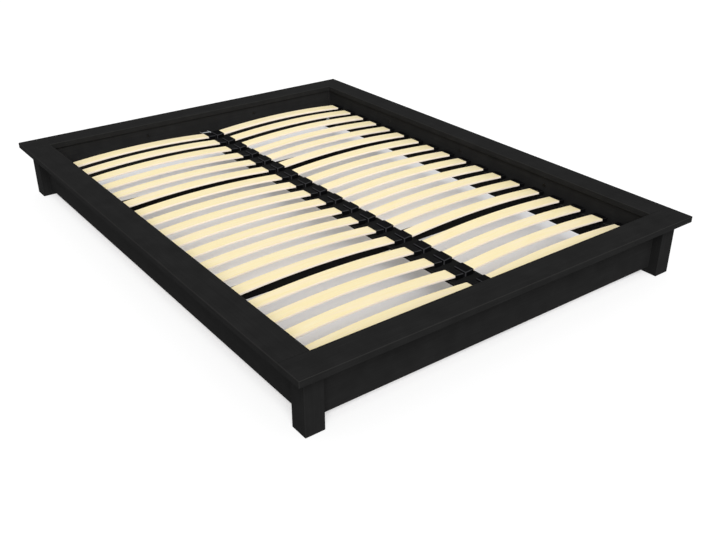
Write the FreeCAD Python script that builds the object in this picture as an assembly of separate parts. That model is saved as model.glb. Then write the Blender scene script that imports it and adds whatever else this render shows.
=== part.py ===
import FreeCAD, Part
import math
import os
from FreeCAD import Vector

# A low platform bed for a 1400 x 1900 mattress: four corner legs carry four rails and a flat
# ledge of four boards. Inside, two columns of arched slats sit in caps on side bearers and in
# holders on a board along a centre beam, which two cross beams carry to the bearers.
# Millimetres. X runs across the bed, Y from the foot end (-Y) to the head end (+Y), Z up from
# the floor. Left and right are as seen from the foot end.

# Mattress opening between the inner edges of the ledge
opening_width = 1400.0
opening_length = 1910.0

# Ledge boards
ledge_width = 100.0
ledge_thickness = 22.0
ledge_edge_radius = 2.5
ledge_under_chamfer = 1.0

# Legs
leg_size = 64.0
leg_height = 195.0
leg_edge_radius = 3.0
leg_foot_chamfer = 2.0

# Rails
rail_thickness = 22.0
rail_height = 170.0
rail_setback = 35.0  # outer face of a rail behind the outer face of the legs
rail_edge_radius = 2.0

# Battens under the slats
support_top = 127.0  # height of the top of the cross beams, bearers and centre board
batten_depth = 42.0
batten_chamfer = 1.5
beam_width = 35.0
bearer_width = 30.0
bearer_end_margin = 10.0  # bearer past the last slat cap
cross_beam_spacing = 832.0
lap_clearance = 0.2

# Board on the centre beam, under the double holders
centre_board_width = 116.0
centre_board_thickness = 8.0
centre_board_chamfer = 1.0
centre_board_end_margin = 14.0  # board past the last double holder

# Slats
slats_per_column = 18
slat_end_margin = 67.0  # end of the opening to the outer edge of the first slat
slat_width = 50.0
slat_thickness = 8.0
slat_crown = 17.4  # rise of the middle of a slat above its ends
slat_centre_offset = 7.0  # middle of the bed to the inner end of a slat
slat_outer_gap = 12.0  # outer end of a slat to the side rail

# Slat caps and double holders
holder_width = 56.0
holder_wall = 2.4
holder_floor = 5.0
holder_chamfer = 2.0
centre_holder_corner = 3.0  # taken off the closed corners, seen from above
outer_pocket_depth = 22.0
centre_pocket_depth = 31.0
pocket_clearance = 0.3
pocket_end_gap = 1.0
skirt_width = 36.0
skirt_depth = 10.0
skirt_clearance = 0.2
peg_size = 10.0  # square peg under a double holder
peg_clearance = 0.2

# Steel brackets across the corners of the rails
bracket_span = 50.0  # corner of the rails to the bend of the bracket
bracket_flange = 30.0
bracket_height = 46.0
bracket_drop = 7.0  # top of a bracket below the bearers
bracket_steel = 2.5

# Steel hangers at the ends of the centre beam
hanger_depth = 36.0
hanger_steel = 2.0
hanger_clearance = 0.2
hanger_plate_width = 70.0
hanger_plate_height = 50.0
hanger_plate_drop = 22.0  # top of the plate below the top of the beam
hanger_plate_chamfer = 6.0
hanger_strap_width = 14.0

# Places that follow from the sizes above
opening_x = opening_width / 2
opening_y = opening_length / 2
ledge_x = opening_x + ledge_width
ledge_y = opening_y + ledge_width
ledge_top = leg_height + ledge_thickness
leg_x = opening_x + leg_size
leg_y = opening_y + leg_size
rail_outer_x = leg_x - rail_setback
rail_outer_y = leg_y - rail_setback
rail_inner_x = rail_outer_x - rail_thickness
rail_inner_y = rail_outer_y - rail_thickness
rail_bottom = leg_height - rail_height
batten_bottom = support_top - batten_depth
bearer_x = rail_inner_x - bearer_width
beam_half = beam_width / 2
board_half = centre_board_width / 2
board_bottom = support_top - centre_board_thickness
cross_y = cross_beam_spacing / 2
lap_height = support_top - batten_depth / 2

slat_inner_x = slat_centre_offset
slat_outer_x = rail_inner_x - slat_outer_gap
slat_middle_x = (slat_inner_x + slat_outer_x) / 2
slat_half_length = (slat_outer_x - slat_inner_x) / 2
slat_radius = (slat_half_length ** 2 + slat_crown ** 2) / (2 * slat_crown)
slat_end_top = support_top + holder_floor + pocket_clearance + slat_thickness
slat_arc_z = slat_end_top + slat_crown - slat_radius
first_slat_y = opening_y - slat_end_margin - slat_width / 2
slat_pitch = 2 * first_slat_y / (slats_per_column - 1)
slat_rows = [first_slat_y - row * slat_pitch for row in range(slats_per_column)]
bearer_y = first_slat_y + holder_width / 2 + bearer_end_margin
board_y = first_slat_y + holder_width / 2 + centre_board_end_margin

ALONG_X = Vector(1, 0, 0)
ALONG_Y = Vector(0, 1, 0)
UP = Vector(0, 0, 1)
ORIGIN = Vector(0, 0, 0)
TOUCHING = 1e-3


def block(x, y, z):
    """A box between pairs of coordinates."""
    corner = Vector(min(x), min(y), min(z))
    return Part.makeBox(abs(x[1] - x[0]), abs(y[1] - y[0]), abs(z[1] - z[0]), corner)


def prism(points, travel):
    """A closed outline of points pushed along a vector."""
    return Part.Face(Part.makePolygon(points + points[:1])).extrude(travel)


def mirrored(shape, normal):
    return shape.mirror(ORIGIN, normal)


def edges_along(shape, axis):
    """The straight edges of a shape that run along an axis."""
    edges = []
    for edge in shape.Edges:
        run = edge.Vertexes[-1].Point.sub(edge.Vertexes[0].Point)
        if run.Length > 0 and abs(abs(run.dot(axis)) - run.Length) < TOUCHING:
            edges.append(edge)
    return edges


def edges_at_height(shape, z):
    """The edges of a shape whose middle is at a height."""
    return [edge for edge in shape.Edges if abs(edge.CenterOfMass.z - z) < TOUCHING]


def group(shapes):
    return Part.makeCompound(list(shapes))


def save(name, shape):
    shape.exportStep(os.path.join("parts", name + ".step"))


# Legs, rails and ledge --------------------------------------------------------------------

def make_leg():
    """Square post at the right head corner, rounded along its height."""
    leg = block((opening_x, leg_x), (opening_y, leg_y), (0, leg_height))
    leg = leg.makeFillet(leg_edge_radius, edges_along(leg, UP))
    return leg.makeChamfer(leg_foot_chamfer, edges_at_height(leg, 0))


def with_round_foot(rail, axis):
    """Rounds the two long lower edges of a rail."""
    lower = [edge for edge in edges_along(rail, axis)
             if abs(edge.CenterOfMass.z - rail_bottom) < TOUCHING]
    return rail.makeFillet(rail_edge_radius, lower)


def make_side_rail():
    rail = block((rail_inner_x, rail_outer_x), (-opening_y, opening_y), (rail_bottom, leg_height))
    return with_round_foot(rail, ALONG_Y)


def make_end_rail():
    rail = block((-opening_x, opening_x), (rail_inner_y, rail_outer_y), (rail_bottom, leg_height))
    return with_round_foot(rail, ALONG_X)


def make_side_ledge():
    """Board between the two end boards, eased along its length."""
    board = block((opening_x, ledge_x), (-opening_y, opening_y), (leg_height, ledge_top))
    long_edges = edges_along(board, ALONG_Y)
    upper = [edge for edge in long_edges if edge.CenterOfMass.z > leg_height + TOUCHING]
    board = board.makeFillet(ledge_edge_radius, upper)
    lower = [edge for edge in edges_along(board, ALONG_Y)
             if edge.CenterOfMass.z < leg_height + TOUCHING]
    return board.makeChamfer(ledge_under_chamfer, lower)


def make_end_ledge():
    """Board over the full width of the bed at the head end, eased all round."""
    board = block((-ledge_x, ledge_x), (opening_y, ledge_y), (leg_height, ledge_top))
    corners = [edge for edge in edges_along(board, UP)
               if edge.CenterOfMass.y > ledge_y - TOUCHING]
    board = board.makeFillet(ledge_edge_radius, corners)
    board = board.makeFillet(ledge_edge_radius, edges_at_height(board, ledge_top))
    return board.makeChamfer(ledge_under_chamfer, edges_at_height(board, leg_height))


# Battens ----------------------------------------------------------------------------------

def batten(x, y, axis):
    """A batten at the common height, with its four long edges taken off."""
    bar = block(x, y, (batten_bottom, support_top))
    return bar.makeChamfer(batten_chamfer, edges_along(bar, axis))


def lap_band(y, spare=lap_clearance):
    """Front and back of a notch that clears a cross beam."""
    return y - beam_half - spare, y + beam_half + spare


def make_centre_board():
    """Thin board lying on the centre beam, with a hole for the peg of each double holder."""
    board = block((-board_half, board_half), (-board_y, board_y), (board_bottom, support_top))
    board = board.makeChamfer(centre_board_chamfer, edges_along(board, ALONG_Y))
    half = peg_size / 2 + peg_clearance
    holes = [block((-half, half), (y - half, y + half), (board_bottom, support_top))
             for y in slat_rows]
    return board.cut(holes)


def make_centre_beam():
    """Full-length beam, lowered under the board and notched from below over each cross beam."""
    end = rail_inner_y - hanger_steel - hanger_clearance
    beam = batten((-beam_half, beam_half), (-end, end), ALONG_Y)
    seat_y = board_y + lap_clearance
    beam = beam.cut(block((-beam_width, beam_width), (-seat_y, seat_y),
                          (board_bottom, support_top + batten_depth)))
    for y in (-cross_y, cross_y):
        notch = block((-beam_width, beam_width), lap_band(y), (0, lap_height + lap_clearance))
        beam = beam.cut(notch)
    return beam


def make_bearer():
    """Batten on the inside of the right side rail, notched from above for the cross beams."""
    bearer = batten((bearer_x, rail_inner_x), (-bearer_y, bearer_y), ALONG_Y)
    for y in (-cross_y, cross_y):
        notch = block((0, rail_inner_x), lap_band(y), (lap_height, support_top + batten_depth))
        bearer = bearer.cut(notch)
    return bearer


def make_cross_beam(y):
    """Batten across the bed, let into the centre beam and its board, resting in the bearers."""
    reach = rail_inner_x - lap_clearance
    beam = batten((-reach, reach), (y - beam_half, y + beam_half), ALONG_X)
    middle = (-beam_half - lap_clearance, beam_half + lap_clearance)
    past_beam = lap_band(y, beam_width)
    beam = beam.cut(block(middle, past_beam, (lap_height, support_top + batten_depth)))
    under_board = (-board_half - lap_clearance, board_half + lap_clearance)
    beam = beam.cut(block(under_board, past_beam, (board_bottom, support_top + batten_depth)))
    for side in (-1, 1):
        end = (side * (bearer_x - lap_clearance), side * rail_inner_x)
        beam = beam.cut(block(end, past_beam, (0, lap_height)))
    return beam


# Slats and what holds them ----------------------------------------------------------------

def slat_surface_z(x, depth=0.0):
    """Height of the top of a slat at x, or of a face below it by a depth."""
    return slat_arc_z + math.sqrt((slat_radius - depth) ** 2 - (x - slat_middle_x) ** 2)


def bent_board(half_length, over, under, width):
    """A board bent to the arc of the slats, with its upper and lower faces moved apart."""
    centre = Vector(slat_middle_x, -width / 2, slat_arc_z)
    end_angle = math.asin(half_length / slat_radius)

    def on_arc(radius, share):
        angle = share * end_angle
        return centre + Vector(radius * math.sin(angle), 0, radius * math.cos(angle))

    upper, lower = slat_radius + over, slat_radius - under
    top = Part.Arc(on_arc(upper, -1), on_arc(upper, 0), on_arc(upper, 1)).toShape()
    bottom = Part.Arc(on_arc(lower, 1), on_arc(lower, 0), on_arc(lower, -1)).toShape()
    ends = [Part.makeLine(on_arc(upper, side), on_arc(lower, side)) for side in (1, -1)]
    outline = Part.Wire([top, ends[0], bottom, ends[1]])
    return Part.Face(outline).extrude(ALONG_Y * width)


def make_slat():
    """The right-hand slat at Y = 0."""
    return bent_board(slat_half_length, 0, slat_thickness, slat_width)


def slat_pocket():
    """What a slat and its clearance take out of a holder."""
    return bent_board(slat_half_length + pocket_end_gap, pocket_clearance,
                      slat_thickness + pocket_clearance, slat_width + 2 * pocket_clearance)


def holder_skirt(face_x, outward):
    """Lip that hangs over the face of a batten."""
    near = face_x + outward * skirt_clearance
    far = near + outward * holder_wall
    return block((near, far), (-skirt_width / 2, skirt_width / 2),
                 (support_top - skirt_depth, support_top))


def holder_shell(mouth_x, back_x, heel_x, corner=0.0):
    """Solid of a pocket: open mouth, lid with its rim taken off, closed back, sloping chin."""
    cover = pocket_clearance + holder_wall
    half = -holder_width / 2
    outline = [Vector(mouth_x, half, slat_surface_z(mouth_x) + cover),
               Vector(back_x, half, slat_end_top + cover),
               Vector(back_x, half, support_top),
               Vector(heel_x, half, support_top),
               Vector(mouth_x, half, slat_surface_z(mouth_x, slat_thickness) - cover)]
    shell = prism(outline, ALONG_Y * holder_width)
    if corner:
        upright = [edge for edge in edges_along(shell, UP)
                   if abs(edge.CenterOfMass.x - back_x) < TOUCHING]
        shell = shell.makeChamfer(corner, upright)
    lid = max(shell.Faces, key=lambda face: face.CenterOfMass.z)
    rim = [edge for edge in lid.Edges if abs(edge.CenterOfMass.x - mouth_x) > TOUCHING]
    return shell.makeChamfer(holder_chamfer, rim)


def make_outer_cap():
    """Cap for the outer end of a right-hand slat, seated on the bearer."""
    mouth_x = slat_outer_x - outer_pocket_depth
    back_x = slat_outer_x + pocket_end_gap + holder_wall
    heel_x = bearer_x - skirt_clearance - holder_wall
    cap = holder_shell(mouth_x, back_x, heel_x).fuse(holder_skirt(bearer_x, -1))
    return cap.cut(slat_pocket()).removeSplitter()


def make_double_holder():
    """Holder on the centre board: two pockets back to back, joined by a web with a peg."""
    mouth_x = slat_inner_x + centre_pocket_depth
    back_x = slat_inner_x - pocket_end_gap - holder_wall
    heel_x = mouth_x - holder_wall
    pocket = holder_shell(mouth_x, back_x, heel_x, centre_holder_corner).cut(slat_pocket())
    half_web = holder_width / 2 - centre_holder_corner
    web = block((-back_x, back_x), (-half_web, half_web),
                (support_top, support_top + holder_floor))
    half_peg = peg_size / 2
    peg = block((-half_peg, half_peg), (-half_peg, half_peg),
                (board_bottom + peg_clearance, support_top))
    return web.fuse([pocket, mirrored(pocket, ALONG_X), peg]).removeSplitter()


def clear_of_cross_beams(cap):
    """Takes away what would reach down into a cross beam."""
    for y in (-cross_y, cross_y):
        band = block((-rail_inner_x, rail_inner_x), lap_band(y), (batten_bottom, support_top))
        cap = cap.cut(band)
    return cap


def rows(shape):
    """A copy of a shape at every slat."""
    return [shape.translated(ALONG_Y * y) for y in slat_rows]


# Corner brackets and beam hangers ---------------------------------------------------------

def make_corner_bracket():
    """Steel strip bent across the right head corner, flat against both rails."""
    bend = bracket_steel * math.tan(math.pi / 8)
    near = bracket_span + bracket_flange
    outline = [(0, -near), (0, -bracket_span), (-bracket_span, 0), (-near, 0),
               (-near, -bracket_steel),
               (-bracket_span - bend, -bracket_steel),
               (-bracket_steel, -bracket_span - bend),
               (-bracket_steel, -near)]
    bottom = batten_bottom - bracket_drop - bracket_height
    points = [Vector(rail_inner_x + x, rail_inner_y + y, bottom) for x, y in outline]
    return prism(points, UP * bracket_height)


def make_beam_hanger():
    """Bent steel pocket on the head rail: back plate, trough and a strap over the beam."""
    inner = beam_half + hanger_clearance
    outer = inner + hanger_steel
    floor = batten_bottom - hanger_clearance
    roof = support_top + hanger_clearance
    front = rail_inner_y - hanger_depth
    section = [(-outer, roof), (-outer, floor - hanger_steel), (outer, floor - hanger_steel),
               (outer, roof), (inner, roof), (inner, floor), (-inner, floor), (-inner, roof)]
    trough = prism([Vector(x, front, z) for x, z in section], ALONG_Y * hanger_depth)
    strap = block((-outer, outer), (front, front + hanger_strap_width),
                  (roof, roof + hanger_steel))
    plate_top = support_top - hanger_plate_drop
    plate = block((-hanger_plate_width / 2, hanger_plate_width / 2),
                  (rail_inner_y - hanger_steel, rail_inner_y),
                  (plate_top - hanger_plate_height, plate_top))
    plate = plate.makeChamfer(hanger_plate_chamfer, edges_along(plate, ALONG_Y))
    return trough.fuse([strap, plate]).removeSplitter()


# The bed ----------------------------------------------------------------------------------

def both_ends(shape):
    return {"head": shape, "foot": mirrored(shape, ALONG_Y)}


def both_sides(shape):
    return {"right": shape, "left": mirrored(shape, ALONG_X)}


def four_corners(shape):
    corners = {}
    for end, end_shape in both_ends(shape).items():
        for side, corner_shape in both_sides(end_shape).items():
            corners[end + "_" + side] = corner_shape
    return corners


def build():
    for corner, shape in four_corners(make_leg()).items():
        save("leg_" + corner, shape)
    for end, shape in both_ends(make_end_rail()).items():
        save(end + "_rail", shape)
    for end, shape in both_ends(make_end_ledge()).items():
        save(end + "_ledge", shape)
    for side, shape in both_sides(make_side_rail()).items():
        save("side_rail_" + side, shape)
    for side, shape in both_sides(make_side_ledge()).items():
        save("side_ledge_" + side, shape)
    for side, shape in both_sides(make_bearer()).items():
        save("slat_bearer_" + side, shape)
    save("centre_beam", make_centre_beam())
    save("centre_board", make_centre_board())
    save("cross_beam_head", make_cross_beam(cross_y))
    save("cross_beam_foot", make_cross_beam(-cross_y))

    for side, shape in both_sides(make_slat()).items():
        for row, y in enumerate(slat_rows, start=1):
            save("slat_%s_%02d" % (side, row), shape.translated(ALONG_Y * y))
    for side, shape in both_sides(make_outer_cap()).items():
        save("slat_caps_" + side, group(clear_of_cross_beams(cap) for cap in rows(shape)))
    save("centre_slat_holders", group(rows(make_double_holder())))

    save("corner_brackets", group(four_corners(make_corner_bracket()).values()))
    save("beam_hangers", group(both_ends(make_beam_hanger()).values()))


os.makedirs("parts", exist_ok=True)
build()
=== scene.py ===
import bmesh
import bpy
import math
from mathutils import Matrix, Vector


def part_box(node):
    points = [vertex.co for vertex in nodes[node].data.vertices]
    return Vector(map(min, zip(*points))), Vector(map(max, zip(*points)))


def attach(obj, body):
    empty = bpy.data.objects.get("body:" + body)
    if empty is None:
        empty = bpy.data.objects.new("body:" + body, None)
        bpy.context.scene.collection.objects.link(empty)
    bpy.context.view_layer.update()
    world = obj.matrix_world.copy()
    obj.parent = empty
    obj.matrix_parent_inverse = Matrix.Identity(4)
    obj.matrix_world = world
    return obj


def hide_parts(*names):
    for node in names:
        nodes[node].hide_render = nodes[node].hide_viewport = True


# A low platform bed of black lacquered pine with two columns of arched birch slats.
# Metres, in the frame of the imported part: X across the bed, +Y to the head end, Z up.

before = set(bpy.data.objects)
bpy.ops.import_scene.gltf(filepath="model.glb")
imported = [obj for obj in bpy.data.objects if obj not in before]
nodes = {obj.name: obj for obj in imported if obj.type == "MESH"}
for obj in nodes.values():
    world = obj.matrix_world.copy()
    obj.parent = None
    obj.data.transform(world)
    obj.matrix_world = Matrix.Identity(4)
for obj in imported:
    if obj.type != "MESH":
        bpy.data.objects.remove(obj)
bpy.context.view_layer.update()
scene = bpy.context.scene
MM = 0.001


# Camera, at the height and angle of the photograph ------------------------------------------

camera_place = (-1.7105, -2.5103, 1.4408)
camera_dip = 28.189  # degrees below the horizon
camera_turn = -36.815  # degrees from the +Y direction
camera_data = bpy.data.cameras.new("camera")
camera_data.sensor_fit = "HORIZONTAL"
camera_data.sensor_width = 36.0
camera_data.lens = 43.386
camera = bpy.data.objects.new("camera", camera_data)
camera.location = camera_place
camera.rotation_euler = (math.radians(90 - camera_dip), 0, math.radians(camera_turn))
scene.collection.objects.link(camera)
scene.camera = camera
scene.view_settings.view_transform = "Standard"


# Helpers for node trees ---------------------------------------------------------------------

def linear(code):
    """An sRGB hex value as linear red, green, blue and alpha."""
    shares = [int(code[i:i + 2], 16) / 255 for i in (0, 2, 4)]
    return [s / 12.92 if s <= 0.04045 else ((s + 0.055) / 1.055) ** 2.4 for s in shares] + [1]


def add(tree, kind, inputs=None, **settings):
    """Adds one node. An input, by name or place, takes a value or another node's output."""
    node = tree.nodes.new(kind)
    for name, value in settings.items():
        setattr(node, name, value)
    for key, value in (inputs or {}).items():
        if isinstance(value, bpy.types.NodeSocket):
            tree.links.new(value, node.inputs[key])
        else:
            node.inputs[key].default_value = value
    return node


def new_material(name):
    material = bpy.data.materials.new(name)
    material.use_nodes = True
    material.node_tree.nodes.clear()
    return material, material.node_tree


def set_surface(tree, shader):
    add(tree, "ShaderNodeOutputMaterial", {"Surface": shader})


def eased_edges(tree, start, full):
    """1 where a surface leans away from all three main directions, as an eased edge does; it
    places painted edge highlights. It starts and is full at these lengths of the normal along
    its nearest main direction."""
    normal = add(tree, "ShaderNodeNewGeometry").outputs["Normal"]
    flat = add(tree, "ShaderNodeVectorMath", {0: normal}, operation="ABSOLUTE").outputs[0]
    parts = add(tree, "ShaderNodeSeparateXYZ", {0: flat})
    pair = add(tree, "ShaderNodeMath", {0: parts.outputs[0], 1: parts.outputs[1]},
               operation="MAXIMUM")
    most = add(tree, "ShaderNodeMath", {0: pair.outputs[0], 1: parts.outputs[2]},
               operation="MAXIMUM")
    return add(tree, "ShaderNodeMapRange", {"Value": most.outputs[0], "From Min": start,
                                            "From Max": full}).outputs[0]


def mix_colours(tree, factor, first, second):
    mix = add(tree, "ShaderNodeMix", {0: factor, 6: first, 7: second}, data_type="RGBA")
    return mix.outputs[2]


# Materials ----------------------------------------------------------------------------------

def black_lacquered_pine(board_axis, name="black_lacquered_pine", deep="212121", thin="272727",
                         edge_highlight_tone="2e2e2d"):
    """Planed pine under sprayed black lacquer, nearly matt: the growth rings show as faint
    raised lines 3 mm apart along the board, and the eased edges carry a lighter painted
    highlight."""
    ring_spacing = 3 * MM
    ring_length = 180 * MM
    coat_patch = 60 * MM
    spray_grain = 1.2 * MM
    material, tree = new_material(name + "_along_" + "xyz"[board_axis])
    place = add(tree, "ShaderNodeTexCoord").outputs["Object"]
    ring_scale = [1 / ring_spacing] * 3
    ring_scale[board_axis] = 1 / ring_length
    stretched = add(tree, "ShaderNodeMapping", {"Vector": place, "Scale": ring_scale})
    rings = add(tree, "ShaderNodeTexNoise", {"Vector": stretched.outputs[0], "Scale": 1.0,
                                             "Detail": 3.0, "Roughness": 0.55})
    coat = add(tree, "ShaderNodeTexNoise", {"Vector": place, "Scale": 1 / coat_patch,
                                            "Detail": 2.0})
    spray = add(tree, "ShaderNodeTexNoise", {"Vector": place, "Scale": 1 / spray_grain,
                                             "Detail": 1.0})
    tone = add(tree, "ShaderNodeMath", {0: rings.outputs[0], 1: coat.outputs[0]},
               operation="MULTIPLY")
    tone = add(tree, "ShaderNodeMapRange", {"Value": tone.outputs[0], "From Min": 0.12,
                                            "From Max": 0.42})
    body = mix_colours(tree, tone.outputs[0], linear(deep), linear(thin))
    # Painted highlight: the eased edges are drawn in a lighter tone, as if they caught the
    # light.
    edge = eased_edges(tree, start=0.985, full=0.8)
    colour = mix_colours(tree, edge, body, linear(edge_highlight_tone))
    roughness = add(tree, "ShaderNodeMapRange", {"Value": coat.outputs[0], "From Min": 0.3,
                                                 "From Max": 0.7, "To Min": 0.5,
                                                 "To Max": 0.62})
    grain = add(tree, "ShaderNodeBump", {"Height": rings.outputs[0], "Strength": 0.35,
                                         "Distance": 0.06 * MM})
    skin = add(tree, "ShaderNodeBump", {"Height": spray.outputs[0], "Strength": 0.25,
                                        "Distance": 0.02 * MM, "Normal": grain.outputs[0]})
    shader = add(tree, "ShaderNodeBsdfPrincipled",
                 {"Base Color": colour, "Roughness": roughness.outputs[0], "IOR": 1.5,
                  "Specular IOR Level": 0.001, "Normal": skin.outputs[0]})
    set_surface(tree, shader.outputs[0])
    return material


def bent_birch_laminate(width, thickness):
    """Birch veneers glued and pressed to an arc, with a clear coat: cream faces with fine
    streaks along the slat, each slat its own tone, and pale edges that show the plies."""
    streak_length = 90 * MM
    streak_width = 1.6 * MM
    figure_length = 230 * MM
    figure_width = 16 * MM
    next_slat = 7.31  # step in the pattern from one slat to the next
    ply_thickness = thickness / 7
    glue_start = 0.86  # share of a ply's thickness where its glue line starts
    edge_start = width / 2 - 0.5 * MM
    edge_full = width / 2 - 0.1 * MM
    material, tree = new_material("bent_birch_laminate")
    along = add(tree, "ShaderNodeAttribute", attribute_name="slat_along").outputs["Fac"]
    across = add(tree, "ShaderNodeAttribute", attribute_name="slat_across").outputs["Fac"]
    depth = add(tree, "ShaderNodeAttribute", attribute_name="slat_depth").outputs["Fac"]
    number = add(tree, "ShaderNodeAttribute", attribute_name="slat_number").outputs["Fac"]
    shift = add(tree, "ShaderNodeMath", {0: number, 1: next_slat},
                operation="MULTIPLY").outputs[0]
    place = add(tree, "ShaderNodeCombineXYZ", {0: along, 1: across, 2: shift}).outputs[0]
    fine_place = add(tree, "ShaderNodeMapping",
                     {"Vector": place, "Scale": (1 / streak_length, 1 / streak_width, 1.0)})
    fine = add(tree, "ShaderNodeTexNoise", {"Vector": fine_place.outputs[0], "Scale": 1.0,
                                            "Detail": 3.0, "Roughness": 0.6})
    figure_place = add(tree, "ShaderNodeMapping",
                       {"Vector": place, "Scale": (1 / figure_length, 1 / figure_width, 1.0)})
    figure = add(tree, "ShaderNodeTexNoise", {"Vector": figure_place.outputs[0], "Scale": 1.0,
                                              "Detail": 2.0, "Distortion": 0.8})
    own_tone = add(tree, "ShaderNodeTexWhiteNoise", {"W": number}, noise_dimensions="1D")
    streak = add(tree, "ShaderNodeMapRange", {"Value": fine.outputs[0], "From Min": 0.34,
                                              "From Max": 0.68})
    veneer = mix_colours(tree, streak.outputs[0], linear("f7e4a9"), linear("fdf3d2"))
    band = add(tree, "ShaderNodeMapRange", {"Value": figure.outputs[0], "From Min": 0.5,
                                            "From Max": 0.72, "To Max": 0.7})
    veneer = mix_colours(tree, band.outputs[0], veneer, linear("fcebd3"))
    shade = add(tree, "ShaderNodeMapRange", {"Value": own_tone.outputs[0], "To Max": 0.4})
    veneer = mix_colours(tree, shade.outputs[0], veneer, linear("f8e6b2"))

    ply = add(tree, "ShaderNodeMath", {0: depth, 1: ply_thickness}, operation="DIVIDE")
    in_ply = add(tree, "ShaderNodeMath", {0: ply.outputs[0], 1: 1.0}, operation="FLOORED_MODULO")
    glue = add(tree, "ShaderNodeMath", {0: in_ply.outputs[0], 1: glue_start},
               operation="GREATER_THAN")
    pair = add(tree, "ShaderNodeMath", {0: ply.outputs[0], 1: 2.0}, operation="FLOORED_MODULO")
    crossed = add(tree, "ShaderNodeMath", {0: pair.outputs[0], 1: 1.0},
                  operation="GREATER_THAN")
    plies = mix_colours(tree, crossed.outputs[0], linear("fff6e8"), linear("feeedd"))
    plies = mix_colours(tree, glue.outputs[0], plies, linear("f3e0c8"))
    from_middle = add(tree, "ShaderNodeMath", {0: across}, operation="ABSOLUTE")
    side = add(tree, "ShaderNodeMapRange",
               {"Value": from_middle.outputs[0], "From Min": edge_start,
                "From Max": edge_full})
    colour = mix_colours(tree, side.outputs[0], veneer, plies)
    roughness = add(tree, "ShaderNodeMapRange", {"Value": fine.outputs[0], "To Min": 0.42,
                                                 "To Max": 0.6})
    bump = add(tree, "ShaderNodeBump", {"Height": fine.outputs[0], "Strength": 0.3,
                                        "Distance": 0.05 * MM})
    shader = add(tree, "ShaderNodeBsdfPrincipled",
                 {"Base Color": colour, "Roughness": roughness.outputs[0], "IOR": 1.5,
                  "Specular IOR Level": 0.2, "Normal": bump.outputs[0]})
    set_surface(tree, shader.outputs[0])
    return material


def moulded_black_polypropylene(name, edge_highlight_tone):
    """Injection-moulded in a spark-eroded tool: an even, nearly matt black with a painted
    highlight, a lighter tone, on the edges, and a pebble drawn 0.8 mm wide, coarser than the
    real one so that it shows."""
    pebble_size = 0.8 * MM
    flow_patch = 25 * MM
    material, tree = new_material("moulded_black_polypropylene_" + name)
    place = add(tree, "ShaderNodeTexCoord").outputs["Object"]
    pebble = add(tree, "ShaderNodeTexVoronoi", {"Vector": place, "Scale": 1 / pebble_size})
    flow = add(tree, "ShaderNodeTexNoise", {"Vector": place, "Scale": 1 / flow_patch,
                                            "Detail": 2.0})
    body = mix_colours(tree, flow.outputs[0], linear("080809"), linear("0e0e0f"))
    # Painted highlight: the edges are drawn lighter, in the tone given for them.
    edge = eased_edges(tree, start=0.97, full=0.75)
    colour = mix_colours(tree, edge, body, linear(edge_highlight_tone))
    roughness = add(tree, "ShaderNodeMapRange", {"Value": flow.outputs[0], "To Min": 0.4,
                                                 "To Max": 0.56})
    bump = add(tree, "ShaderNodeBump", {"Height": pebble.outputs[0], "Strength": 0.3,
                                        "Distance": 0.03 * MM})
    shader = add(tree, "ShaderNodeBsdfPrincipled",
                 {"Base Color": colour, "Roughness": roughness.outputs[0], "IOR": 1.49,
                  "Specular IOR Level": 0.01, "Normal": bump.outputs[0]})
    set_surface(tree, shader.outputs[0])
    return material


def plated_steel(name, light, dark, smooth, dull):
    """Cold-rolled steel, pressed and plated: a metal skin that goes from light and smooth to
    dark and dull in patches of 22 mm, with the fine lines of rolling 0.6 mm apart."""
    patch_size = 22 * MM
    roll_length = 20 * MM
    roll_spacing = 0.6 * MM
    material, tree = new_material(name)
    place = add(tree, "ShaderNodeTexCoord").outputs["Object"]
    patches = add(tree, "ShaderNodeTexNoise", {"Vector": place, "Scale": 1 / patch_size,
                                               "Detail": 3.0})
    rolled = add(tree, "ShaderNodeMapping", {"Vector": place, "Scale": (
        1 / roll_length, 1 / roll_length, 1 / roll_spacing)})
    lines = add(tree, "ShaderNodeTexNoise", {"Vector": rolled.outputs[0], "Scale": 1.0})
    colour = mix_colours(tree, patches.outputs[0], linear(light), linear(dark))
    roughness = add(tree, "ShaderNodeMapRange", {"Value": patches.outputs[0], "From Min": 0.3,
                                                 "From Max": 0.7, "To Min": smooth,
                                                 "To Max": dull})
    bump = add(tree, "ShaderNodeBump", {"Height": lines.outputs[0], "Strength": 0.2,
                                        "Distance": 0.02 * MM})
    shader = add(tree, "ShaderNodeBsdfPrincipled",
                 {"Base Color": colour, "Metallic": 1.0, "Roughness": roughness.outputs[0],
                  "Normal": bump.outputs[0]})
    set_surface(tree, shader.outputs[0])
    return material


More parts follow.
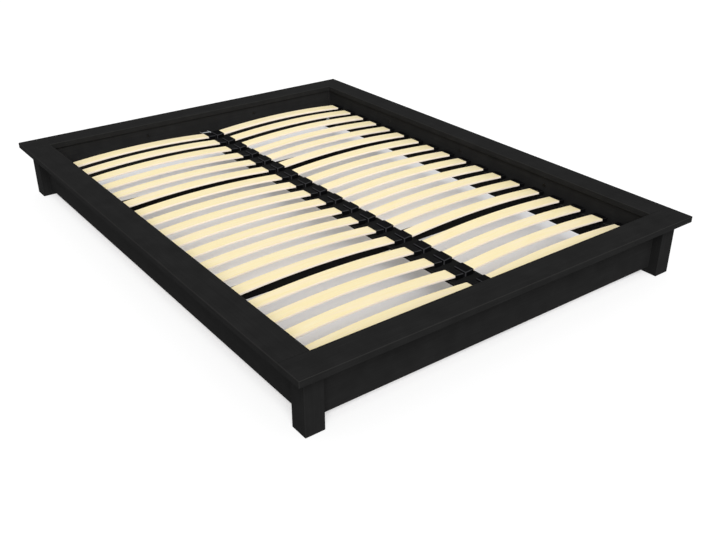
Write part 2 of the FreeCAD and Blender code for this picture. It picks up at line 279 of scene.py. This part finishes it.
def coated_hanger_steel(strap_height):
    """Pressed steel dipped in black paint up to the strap, which is left with its matt zinc
    bloom: the pocket sinks into the shade and only the strap's top catches the light."""
    paint_edge = 0.4 * MM
    bloom_size = 9 * MM
    bare_metal = 0.25  # the bloom hides most of the metal's own gloss
    material, tree = new_material("black_dipped_steel_with_zinc_strap")
    place = add(tree, "ShaderNodeTexCoord").outputs["Object"]
    height = add(tree, "ShaderNodeSeparateXYZ", {0: place}).outputs[2]
    bare = add(tree, "ShaderNodeMapRange",
               {"Value": height, "From Min": strap_height - paint_edge,
                "From Max": strap_height + paint_edge}).outputs[0]
    bloom = add(tree, "ShaderNodeTexNoise", {"Vector": place, "Scale": 1 / bloom_size,
                                             "Detail": 3.0})
    zinc_skin = mix_colours(tree, bloom.outputs[0], linear("b4b8bb"), linear("d2d5d6"))
    paint = mix_colours(tree, bloom.outputs[0], linear("121211"), linear("1c1b1a"))
    colour = mix_colours(tree, bare, paint, zinc_skin)
    metal = add(tree, "ShaderNodeMath", {0: bare, 1: bare_metal}, operation="MULTIPLY")
    bump = add(tree, "ShaderNodeBump", {"Height": bloom.outputs[0], "Strength": 0.2,
                                        "Distance": 0.05 * MM})
    shader = add(tree, "ShaderNodeBsdfPrincipled",
                 {"Base Color": colour, "Metallic": metal.outputs[0], "Roughness": 0.55,
                  "Specular IOR Level": 0.15, "Normal": bump.outputs[0]})
    set_surface(tree, shader.outputs[0])
    return material


# A slat's box is its CAD solid's, and its thickness and the rise of its arc are the same too.
slat_low, slat_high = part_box("slat_right_01")
slat_width = slat_high.y - slat_low.y
slat_thickness = 8 * MM
slat_crown = 17.4 * MM

# Boards that run along X and along Y have a material each, and the legs stand along Z.
pine = [black_lacquered_pine(axis) for axis in range(2)]
# The posts' painted edge highlight is set close to their body tone, so it nearly vanishes.
leg_pine = black_lacquered_pine(2, "black_lacquered_pine_post", edge_highlight_tone="252525")
battens = [black_lacquered_pine(axis, "black_lacquered_batten", "191919", "1f1f1f")
           for axis in range(2)]
birch = bent_birch_laminate(slat_width, slat_thickness)
# Holders get a grey painted highlight on their edges, caps a fainter one.
holder_plastic = moulded_black_polypropylene("holder", "38383a")
cap_plastic = moulded_black_polypropylene("cap", "19191a")
zinc = plated_steel("zinc_plated_steel", "c3c7ca", "a4a9ad", smooth=0.32, dull=0.46)
black_zinc = plated_steel("black_zinc_fitting", "2e2d2c", "1c1b1a", smooth=0.38, dull=0.52)


# Frame boards, legs and battens keep their CAD shapes ----------------------------------------

def dress(node, material):
    piece = nodes[node]
    for place in piece.material_slots:
        place.material = material


for end in ("head", "foot"):
    dress(end + "_ledge", pine[0])
    dress(end + "_rail", pine[0])
    dress("cross_beam_" + end, battens[0])
    for side in ("right", "left"):
        dress("leg_%s_%s" % (end, side), leg_pine)
for side in ("right", "left"):
    dress("side_ledge_" + side, pine[1])
    dress("side_rail_" + side, pine[1])
    dress("slat_bearer_" + side, battens[1])
dress("centre_beam", battens[1])
dress("centre_board", battens[1])
dress("corner_brackets", black_zinc)
dress("beam_hangers", coated_hanger_steel(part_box("centre_beam")[1].z))


# Geometry Nodes -----------------------------------------------------------------------------

def new_tree(name, sizes):
    """A Geometry Nodes tree whose named inputs have these values to begin with."""
    tree = bpy.data.node_groups.new(name, "GeometryNodeTree")
    kinds = {float: "NodeSocketFloat", int: "NodeSocketInt", tuple: "NodeSocketVector"}
    tree.interface.new_socket("Geometry", in_out="OUTPUT", socket_type="NodeSocketGeometry")
    tree.interface.new_socket("Geometry", in_out="INPUT", socket_type="NodeSocketGeometry")
    for label, value in sizes.items():
        socket = tree.interface.new_socket(label, in_out="INPUT",
                                           socket_type=kinds[type(value)])
        socket.default_value = value
    return tree, add(tree, "NodeGroupInput").outputs


def end_tree(tree, geometry, material):
    """Every tree ends in real geometry that carries its material."""
    real = add(tree, "GeometryNodeRealizeInstances", {0: geometry})
    painted = add(tree, "GeometryNodeSetMaterial", {0: real.outputs[0], "Material": material})
    add(tree, "NodeGroupOutput", {0: painted.outputs[0]})


def plain_piece(name, tree, start_mesh, values):
    """Runs a tree on a mesh and keeps the result as a plain mesh at the origin."""
    piece = bpy.data.objects.new(name, start_mesh)
    scene.collection.objects.link(piece)
    modifier = piece.modifiers.new(tree.name, "NODES")
    modifier.node_group = tree
    for socket in tree.interface.items_tree:
        if socket.in_out == "INPUT" and socket.name in values:
            modifier[socket.identifier] = values[socket.name]
    ready = piece.evaluated_get(bpy.context.evaluated_depsgraph_get())
    mesh = bpy.data.meshes.new_from_object(ready)
    mesh.name = name
    piece.modifiers.clear()
    piece.data = mesh
    return piece


# Slats --------------------------------------------------------------------------------------

def make_slat_tree(sizes):
    """A board swept along an arc, with its place on the slat kept for the veneer."""
    tree, given = new_tree("arched_slat", sizes)
    drop = add(tree, "ShaderNodeMath", {0: given["Sagitta"], 1: -1.0}, operation="MULTIPLY")
    back = add(tree, "ShaderNodeMath", {0: given["Half Length"], 1: -1.0}, operation="MULTIPLY")
    start = add(tree, "ShaderNodeCombineXYZ", {0: back.outputs[0], 2: drop.outputs[0]})
    end = add(tree, "ShaderNodeCombineXYZ", {0: given["Half Length"], 2: drop.outputs[0]})
    arc = add(tree, "GeometryNodeCurveArc", {"Resolution": 41, "Start": start.outputs[0],
                                             "Middle": (0, 0, 0), "End": end.outputs[0]},
              mode="POINTS")
    level = add(tree, "GeometryNodeSetCurveNormal", {0: arc.outputs[0]}, mode="Z_UP")
    run = add(tree, "GeometryNodeSplineParameter")
    line = add(tree, "GeometryNodeStoreNamedAttribute",
               {0: level.outputs[0], "Name": "slat_along", "Value": run.outputs["Length"]},
               data_type="FLOAT", domain="POINT")
    outline = add(tree, "GeometryNodeCurvePrimitiveQuadrilateral",
                  {"Width": given["Width"], "Height": given["Thickness"]})
    eased = add(tree, "GeometryNodeFilletCurve",
                {0: outline.outputs[0], "Radius": given["Edge Radius"], "Count": 3},
                mode="POLY")
    spot = add(tree, "ShaderNodeSeparateXYZ",
               {0: add(tree, "GeometryNodeInputPosition").outputs[0]})
    section = eased.outputs[0]
    for label, value in (("slat_across", spot.outputs[0]), ("slat_depth", spot.outputs[1])):
        section = add(tree, "GeometryNodeStoreNamedAttribute",
                      {0: section, "Name": label, "Value": value},
                      data_type="FLOAT", domain="POINT").outputs[0]
    board = add(tree, "GeometryNodeCurveToMesh", {"Curve": line.outputs[0],
                                                  "Profile Curve": section,
                                                  "Fill Caps": True})
    numbered = add(tree, "GeometryNodeStoreNamedAttribute",
                   {0: board.outputs[0], "Name": "slat_number",
                    "Value": given["Slat Number"]}, data_type="FLOAT", domain="POINT")
    flat = add(tree, "GeometryNodeSetShadeSmooth", {0: numbered.outputs[0],
                                                    "Shade Smooth": False})
    placed = add(tree, "GeometryNodeTransform", {0: flat.outputs[0],
                                                 "Translation": given["Crown Place"]})
    end_tree(tree, placed.outputs[0], birch)
    return tree


half_chord = (slat_high.x - slat_low.x) / 2
slat_radius = (half_chord ** 2 + slat_crown ** 2) / (2 * slat_crown)
slat_angle = math.asin(half_chord / slat_radius)
middle_radius = slat_radius - slat_thickness / 2
slat_sizes = {
    "Half Length": middle_radius * math.sin(slat_angle),
    "Sagitta": middle_radius * (1 - math.cos(slat_angle)),
    "Width": slat_width,
    "Thickness": slat_thickness,
    "Edge Radius": 1.2 * MM,
    "Crown Place": (0.0, 0.0, 0.0),
    "Slat Number": 1,
}
slat_tree = make_slat_tree(slat_sizes)
slat_names = sorted(name for name in nodes if name.startswith("slat_right_")
                    or name.startswith("slat_left_"))
for number, name in enumerate(slat_names):
    low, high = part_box(name)
    crown = (low + high) / 2
    crown.z = high.z - slat_thickness / 2
    slat = plain_piece("birch_" + name, slat_tree, bpy.data.meshes.new(name), dict(
        slat_sizes, **{"Crown Place": tuple(crown), "Slat Number": number}))
    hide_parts(name)
    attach(slat, "root")


# Slat caps and double holders: the CAD forms with moulded edges -------------------------------

moulded_radius = 0.5 * MM
weld_distance = 0.005 * MM
flat_angle = math.radians(0.3)  # faces that turn less than this are one flat face
sharp_angle = math.radians(32)  # edges that turn more than this are rounded


def moulded_copy(name, node, plastic):
    """The solid of a node with its loose triangles joined and every sharp edge rounded."""
    mesh = nodes[node].data.copy()
    mesh.name = name
    for label in ("custom_normal", "sharp_face", "sharp_edge"):
        if label in mesh.attributes:
            mesh.attributes.remove(mesh.attributes[label])
    shape = bmesh.new()
    shape.from_mesh(mesh)
    bmesh.ops.remove_doubles(shape, verts=shape.verts, dist=weld_distance)
    bmesh.ops.dissolve_limit(shape, angle_limit=flat_angle, verts=shape.verts,
                             edges=shape.edges)
    for face in shape.faces:
        face.smooth = False
    shape.to_mesh(mesh)
    shape.free()
    mesh.materials.clear()
    mesh.materials.append(plastic)
    piece = bpy.data.objects.new(name, mesh)
    scene.collection.objects.link(piece)
    bevel = piece.modifiers.new("moulded edges", "BEVEL")
    bevel.width = moulded_radius
    bevel.segments = 2
    bevel.limit_method = "ANGLE"
    bevel.angle_limit = sharp_angle
    ready = piece.evaluated_get(bpy.context.evaluated_depsgraph_get())
    rounded = bpy.data.meshes.new_from_object(ready)
    rounded.name = name
    piece.modifiers.clear()
    piece.data = rounded
    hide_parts(node)
    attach(piece, "root")


moulded_copy("moulded_centre_holders", "centre_slat_holders", holder_plastic)
moulded_copy("moulded_caps_right", "slat_caps_right", cap_plastic)
moulded_copy("moulded_caps_left", "slat_caps_left", cap_plastic)


# Screws, cam fittings and corner bolts --------------------------------------------------------

next_turn = 2.4  # radians from one fitting's cross to the next one's


def seats(name, places):
    """Points, each with the way that its fitting faces and how far it was turned."""
    mesh = bpy.data.meshes.new(name)
    mesh.from_pydata([place for place, _ in places], [], [])
    mesh.attributes.new("facing", "FLOAT_VECTOR", "POINT")
    mesh.attributes.new("turn", "FLOAT", "POINT")
    mesh.attributes["facing"].data.foreach_set("vector", [part for _, way in places
                                                          for part in way])
    mesh.attributes["turn"].data.foreach_set("value", [i * next_turn % math.pi
                                                       for i in range(len(places))])
    return mesh


def on_every_seat(tree, points, fitting):
    """Stands a fitting, modelled upwards, on each point and turns it to face its way."""
    way = add(tree, "GeometryNodeInputNamedAttribute", {"Name": "facing"},
              data_type="FLOAT_VECTOR")
    turn = add(tree, "GeometryNodeInputNamedAttribute", {"Name": "turn"}, data_type="FLOAT")
    spin = add(tree, "ShaderNodeCombineXYZ", {2: turn.outputs["Attribute"]})
    aligned = add(tree, "FunctionNodeAlignRotationToVector",
                  {"Vector": way.outputs["Attribute"]}, axis="Z")
    turned = add(tree, "FunctionNodeRotateRotation",
                 {0: aligned.outputs[0], 1: spin.outputs[0]}, rotation_space="LOCAL")
    return add(tree, "GeometryNodeInstanceOnPoints",
               {"Points": points, "Instance": fitting,
                "Rotation": turned.outputs[0]}).outputs[0]


def make_head_tree(name, sizes, material):
    """A round head that narrows to its top, with a cross cut into it."""
    tree, given = new_tree(name, sizes)
    cone = add(tree, "GeometryNodeMeshCone",
               {"Vertices": 24, "Radius Top": given["Top Radius"],
                "Radius Bottom": given["Base Radius"], "Depth": given["Height"]})
    twice = add(tree, "ShaderNodeMath", {0: given["Cross Depth"], 1: 2.0},
                operation="MULTIPLY")
    arms = []
    for size in (("Cross Length", "Cross Width"), ("Cross Width", "Cross Length")):
        reach = add(tree, "ShaderNodeCombineXYZ", {0: given[size[0]], 1: given[size[1]],
                                                   2: twice.outputs[0]})
        arms.append(add(tree, "GeometryNodeMeshCube", {"Size": reach.outputs[0]}))
    cross = add(tree, "GeometryNodeJoinGeometry", {0: arms[0].outputs[0]})
    tree.links.new(arms[1].outputs[0], cross.inputs[0])
    top = add(tree, "ShaderNodeCombineXYZ", {2: given["Height"]})
    raised = add(tree, "GeometryNodeTransform", {0: cross.outputs[0],
                                                 "Translation": top.outputs[0]})
    head = add(tree, "GeometryNodeMeshBoolean", {0: cone.outputs[0], 1: raised.outputs[0],
                                                 2: True},
               operation="DIFFERENCE", solver="EXACT")
    end_tree(tree, on_every_seat(tree, given["Geometry"], head.outputs[0]), material)
    return tree


def make_bolt_tree(sizes, material):
    """A bolt's end with its washer and hexagon nut, standing on the plate that it holds."""
    tree, given = new_tree("hexagon_nut_on_bolt", sizes)
    parts = []
    for sides, radius, height, start in (
            (24, "Washer Radius", "Washer Height", None),
            (6, "Nut Radius", "Nut Height", "Washer Height"),
            (16, "Rod Radius", "Rod Height", None)):
        part = add(tree, "GeometryNodeMeshCylinder",
                   {"Vertices": sides, "Radius": given[radius], "Depth": given[height]})
        half = add(tree, "ShaderNodeMath", {0: given[height], 1: 0.5}, operation="MULTIPLY")
        if start:
            half = add(tree, "ShaderNodeMath", {0: half.outputs[0], 1: given[start]},
                       operation="ADD")
        lift = add(tree, "ShaderNodeCombineXYZ", {2: half.outputs[0]})
        parts.append(add(tree, "GeometryNodeTransform", {0: part.outputs[0],
                                                         "Translation": lift.outputs[0]}))
    whole = add(tree, "GeometryNodeJoinGeometry", {0: parts[0].outputs[0]})
    for part in parts[1:]:
        tree.links.new(part.outputs[0], whole.inputs[0])
    end_tree(tree, on_every_seat(tree, given["Geometry"], whole.outputs[0]), material)
    return tree


screw_sizes = {"Base Radius": 4.0 * MM, "Top Radius": 2.6 * MM, "Height": 2.2 * MM,
               "Cross Length": 4.0 * MM, "Cross Width": 1.0 * MM, "Cross Depth": 1.3 * MM}
cam_sizes = {"Base Radius": 7.5 * MM, "Top Radius": 7.1 * MM, "Height": 0.8 * MM,
             "Cross Length": 8.0 * MM, "Cross Width": 1.8 * MM, "Cross Depth": 0.6 * MM}
bolt_sizes = {"Washer Radius": 9.0 * MM, "Washer Height": 1.6 * MM, "Nut Radius": 7.5 * MM,
              "Nut Height": 6.5 * MM, "Rod Radius": 4.0 * MM, "Rod Height": 14.0 * MM}
screw_tree = make_head_tree("pan_head_screws", screw_sizes, black_zinc)
cam_tree = make_head_tree("cam_fittings", cam_sizes, black_zinc)
bolt_tree = make_bolt_tree(bolt_sizes, zinc)

# Inner faces of the rails and bearers, and the steel that the screws hold
rail_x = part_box("side_rail_right")[0].x
rail_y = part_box("head_rail")[0].y
bearer_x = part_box("slat_bearer_right")[0].x
bracket_low, bracket_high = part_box("corner_brackets")
bracket_middle = (bracket_low.z + bracket_high.z) / 2
bracket_steel = 2.5 * MM
bracket_span = 50 * MM  # corner of the rails to the bend of the bracket
hanger_steel = 2 * MM
hanger_plate_height = 50 * MM
hanger_plate_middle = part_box("beam_hangers")[0].z + hanger_plate_height / 2

cam_height = 161 * MM
side_cam_spacing = 475 * MM
end_cam_x = 270 * MM
cam_places = [((side * rail_x, step * side_cam_spacing, cam_height), (-side, 0, 0))
              for side in (-1, 1) for step in (-1, 0, 1)]
cam_places += [((hand * end_cam_x, end * rail_y, cam_height), (0, -end, 0))
               for end in (-1, 1) for hand in (-1, 1)]

flange_screw = 65 * MM  # corner of the rails to a bracket's screws
flange_screw_rise = 12 * MM
hanger_screw_x = 27.5 * MM
hanger_screw_rise = 15 * MM
bearer_screw_height = 100 * MM
bearer_screw_spots = (-800, -600, -250, -50, 50, 250, 600, 800)  # millimetres along the bed
screw_places = []
for end in (-1, 1):
    for side in (-1, 1):
        for up in (-1, 1):
            z = bracket_middle + up * flange_screw_rise
            on_side = (side * (rail_x - bracket_steel), end * (rail_y - flange_screw), z)
            on_end = (side * (rail_x - flange_screw), end * (rail_y - bracket_steel), z)
            screw_places.append((on_side, (-side, 0, 0)))
            screw_places.append((on_end, (0, -end, 0)))
        for up in (-1, 1):
            z = hanger_plate_middle + up * hanger_screw_rise
            on_plate = (side * hanger_screw_x, end * (rail_y - hanger_steel), z)
            screw_places.append((on_plate, (0, -end, 0)))
for side in (-1, 1):
    for spot in bearer_screw_spots:
        on_bearer = (side * bearer_x, spot * MM, bearer_screw_height)
        screw_places.append((on_bearer, (-side, 0, 0)))

# Middle of a bracket's face across the corner
corner_x = rail_x - bracket_span / 2 - bracket_steel / math.sqrt(2)
corner_y = rail_y - (rail_x - corner_x)
bolt_places = [((side * corner_x, end * corner_y, bracket_middle), (-side, -end, 0))
               for side in (-1, 1) for end in (-1, 1)]

for name, tree, sizes, places, slot in (
        ("rail_cam_fittings", cam_tree, cam_sizes, cam_places, "zinc_plated_steel"),
        ("frame_screws", screw_tree, screw_sizes, screw_places, "zinc_plated_steel"),
        ("corner_bolts", bolt_tree, bolt_sizes, bolt_places, "zinc_plated_steel")):
    fittings = plain_piece(name, tree, seats(name + "_seats", places), sizes)
    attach(fittings, "root")


# Floor, world and lamp ------------------------------------------------------------------------

def seen_directly(tree):
    """1 for rays from the camera, a mirror or clear glass, 0 for the light on the object."""
    rays = add(tree, "ShaderNodeLightPath")
    first = add(tree, "ShaderNodeMath", {0: rays.outputs["Is Camera Ray"],
                                         1: rays.outputs["Is Glossy Ray"]},
                operation="MAXIMUM")
    return add(tree, "ShaderNodeMath", {0: first.outputs[0],
                                        1: rays.outputs["Is Transmission Ray"]},
               operation="MAXIMUM").outputs[0]


def studio_floor_paper(inner_corner):
    """Studio paper, matt and seamless. Between the rails it is white, and its glow is kept low
    there:
    painted shade that keeps the greys between the slats. Past them it is greyer, so that it
    throws less light on the bed, and a strong glow, only seen directly or mirrored, is painted
    light that leaves just the last of the shadow."""
    half_blend = 40 * MM
    material, tree = new_material("studio_floor_paper")
    place = add(tree, "ShaderNodeTexCoord").outputs["Object"]
    reach = add(tree, "ShaderNodeVectorMath", {0: place}, operation="ABSOLUTE").outputs[0]
    past = add(tree, "ShaderNodeVectorMath", {0: reach, 1: inner_corner}, operation="SUBTRACT")
    past = add(tree, "ShaderNodeSeparateXYZ", {0: past.outputs[0]})
    furthest = add(tree, "ShaderNodeMath", {0: past.outputs[0], 1: past.outputs[1]},
                   operation="MAXIMUM").outputs[0]
    outside = add(tree, "ShaderNodeMapRange", {"Value": furthest, "From Min": -half_blend,
                                               "From Max": half_blend}).outputs[0]
    tint = mix_colours(tree, outside, linear("f4f3f6"), linear("b4b4b4"))
    paper = add(tree, "ShaderNodeBsdfDiffuse", {"Color": tint})
    # Painted light and shade: the glow rises past the rails and hides most of the bed's shadow,
    # and stays low under the bed, which darkens the floor there.
    share = add(tree, "ShaderNodeMapRange", {"Value": outside, "To Min": 0.1, "To Max": 0.62})
    painted_glow_strength = add(tree, "ShaderNodeMath", {0: seen_directly(tree), 1: share.outputs[0]},
                   operation="MULTIPLY")
    glow = add(tree, "ShaderNodeEmission", {"Strength": painted_glow_strength.outputs[0]})
    both = add(tree, "ShaderNodeAddShader", {0: paper.outputs[0], 1: glow.outputs[0]})
    set_surface(tree, both.outputs[0])
    return material


floor_reach = 30.0
floor_corners = [(x * floor_reach, y * floor_reach, 0)
                 for x, y in ((-1, -1), (1, -1), (1, 1), (-1, 1))]
floor_mesh = bpy.data.meshes.new("studio_floor")
floor_mesh.from_pydata(floor_corners, [], [(0, 1, 2, 3)])
floor_mesh.materials.append(studio_floor_paper((rail_x, rail_y, 0)))
floor = bpy.data.objects.new("studio_floor", floor_mesh)
scene.collection.objects.link(floor)

studio_light = 0.5
world = bpy.data.worlds.new("soft_studio")
world.use_nodes = True
world.node_tree.nodes.clear()
level = add(world.node_tree, "ShaderNodeMapRange",
            {"Value": seen_directly(world.node_tree), "To Min": studio_light, "To Max": 1.0})
sky = add(world.node_tree, "ShaderNodeBackground", {"Color": (1, 1, 1, 1),
                                                    "Strength": level.outputs[0]})
add(world.node_tree, "ShaderNodeOutputWorld", {"Surface": sky.outputs[0]})
scene.world = world

sun_direction = Vector((0.5, 0.85, -0.8))
sun = bpy.data.lights.new("front_soft_light", "SUN")
sun.energy = 2.6
sun.angle = math.radians(35)
front_light = bpy.data.objects.new("front_soft_light", sun)
front_light.rotation_euler = sun_direction.to_track_quat("-Z", "Y").to_euler()
scene.collection.objects.link(front_light)
